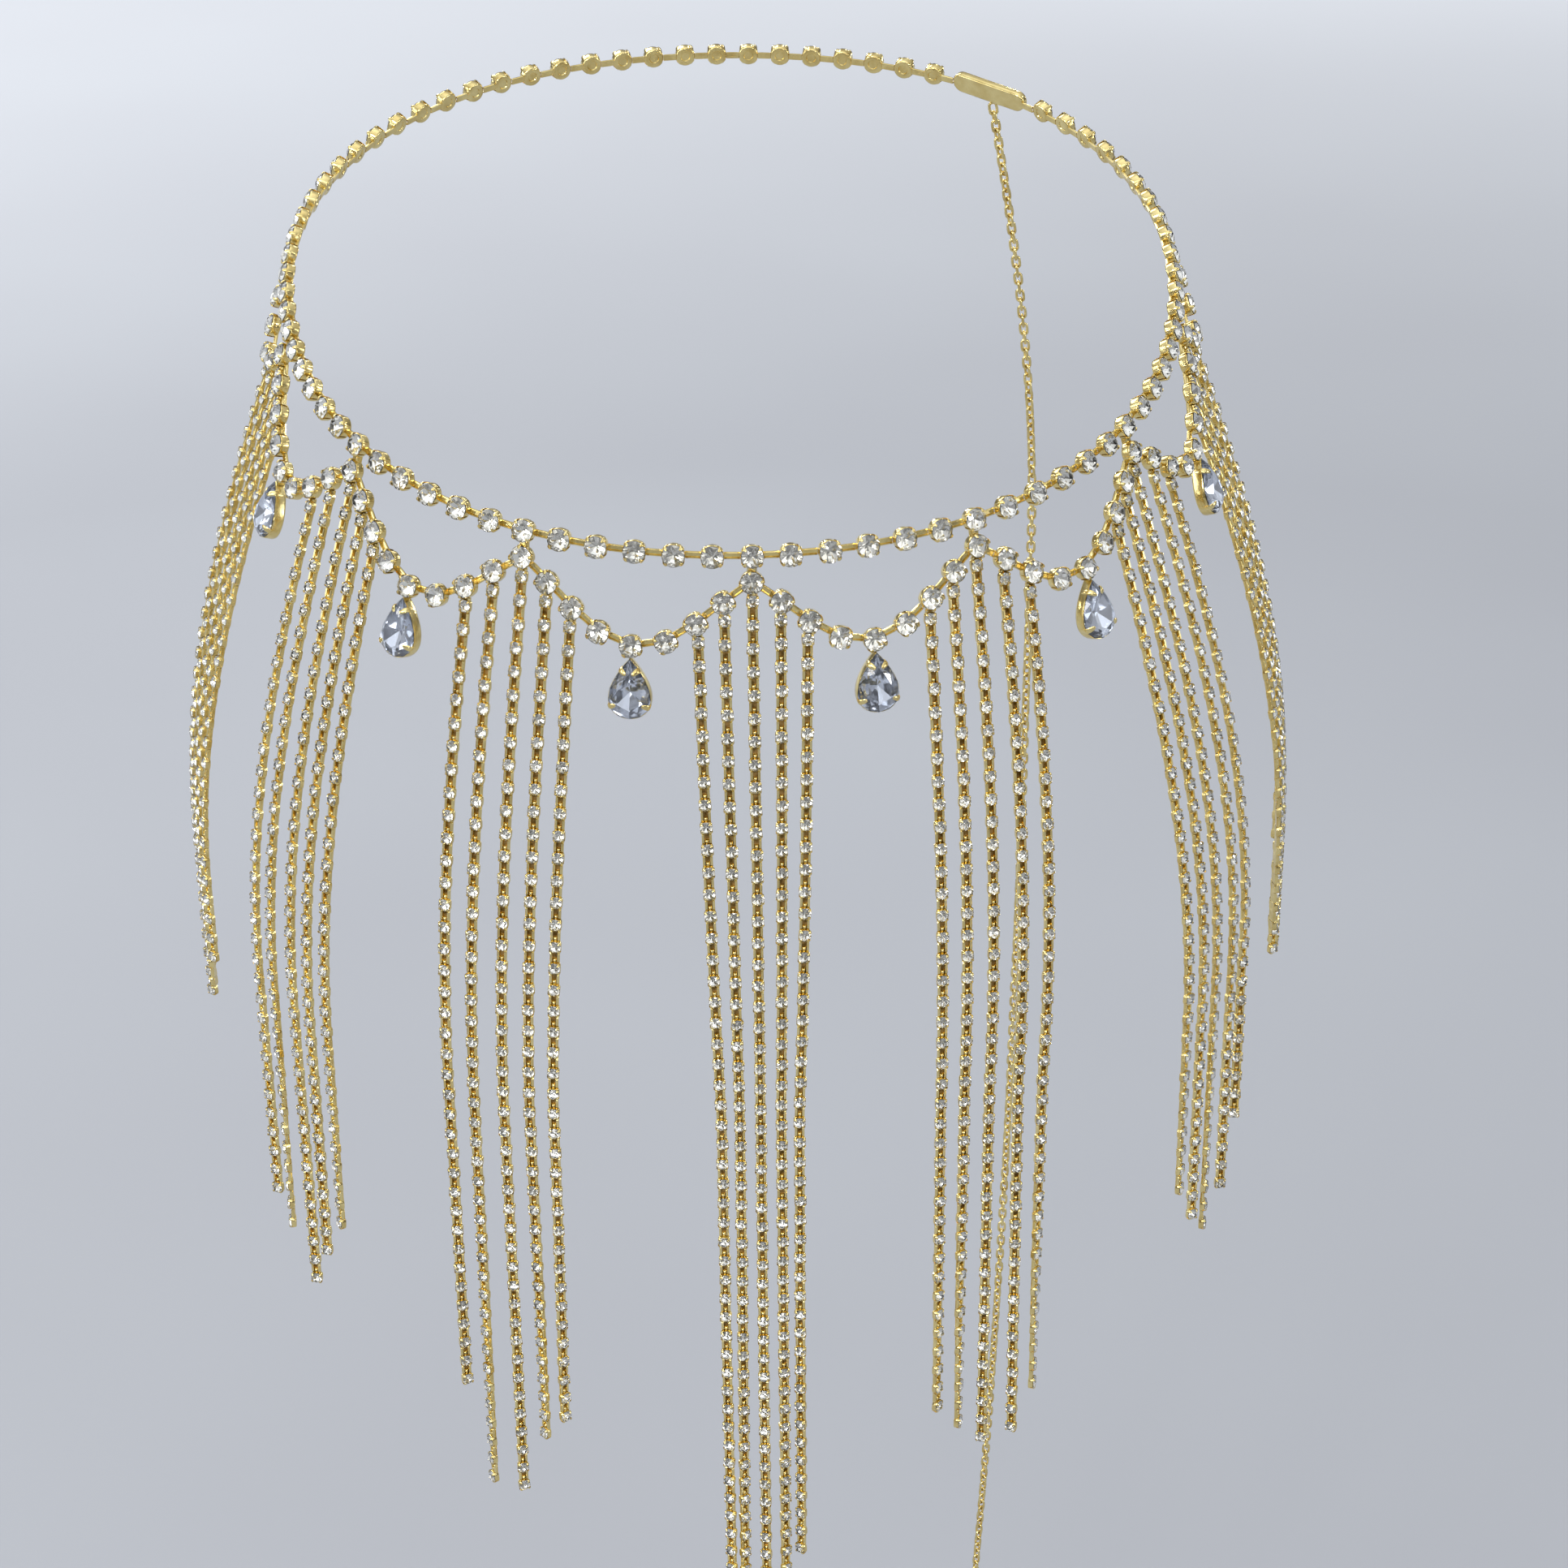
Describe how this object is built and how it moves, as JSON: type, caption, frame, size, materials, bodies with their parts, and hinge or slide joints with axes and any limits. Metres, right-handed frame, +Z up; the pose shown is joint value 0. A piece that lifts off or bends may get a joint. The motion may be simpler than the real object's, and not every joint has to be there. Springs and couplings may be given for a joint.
{
  "type": "waist chain",
  "caption": "Gold chain belt of round crystals in cups, with a row of swags, pear-shaped crystal drops and a long tapering fringe of fine crystal chains.",
  "frame": {"origin": "middle of the belt loop, at the height of its sides", "axes": "+Z up as worn, the front with its swags faces -Y, +X to the right seen from the front"},
  "size_m": [0.3038, 0.249, 0.5883],
  "materials": {
    "gold": "polished yellow gold plate, round stones clear",
    "gold_crystal": "polished yellow gold plate set with fine clear stones",
    "smoke_crystal": "cut, foiled, pale blue-grey"
  },
  "bodies": {
    "root": {"belt_chain": "gold", "swag_row": "gold", "clasp": "gold", "tail_chain": "gold", "drop_1": "gold", "drop_2": "gold", "drop_3": "gold", "drop_4": "gold", "drop_5": "gold", "drop_6": "gold", "pear_1": "smoke_crystal", "pear_2": "smoke_crystal", "pear_3": "smoke_crystal", "pear_4": "smoke_crystal", "pear_5": "smoke_crystal", "pear_6": "smoke_crystal", "strand_01": "gold_crystal", "strand_02": "gold_crystal", "strand_03": "gold_crystal", "strand_04": "gold_crystal", "strand_05": "gold_crystal", "strand_06": "gold_crystal", "strand_07": "gold_crystal", "strand_08": "gold_crystal", "strand_09": "gold_crystal", "strand_10": "gold_crystal", "strand_11": "gold_crystal", "strand_12": "gold_crystal", "strand_13": "gold_crystal", "strand_14": "gold_crystal", "strand_15": "gold_crystal", "strand_16": "gold_crystal", "strand_17": "gold_crystal", "strand_18": "gold_crystal", "strand_19": "gold_crystal", "strand_20": "gold_crystal", "strand_21": "gold_crystal", "strand_22": "gold_crystal", "strand_23": "gold_crystal", "strand_24": "gold_crystal", "strand_25": "gold_crystal", "strand_26": "gold_crystal", "strand_27": "gold_crystal", "strand_28": "gold_crystal", "strand_29": "gold_crystal", "strand_30": "gold_crystal", "strand_31": "gold_crystal", "strand_32": "gold_crystal", "strand_33": "gold_crystal", "strand_34": "gold_crystal", "strand_35": "gold_crystal"}
  },
  "joints": []
}
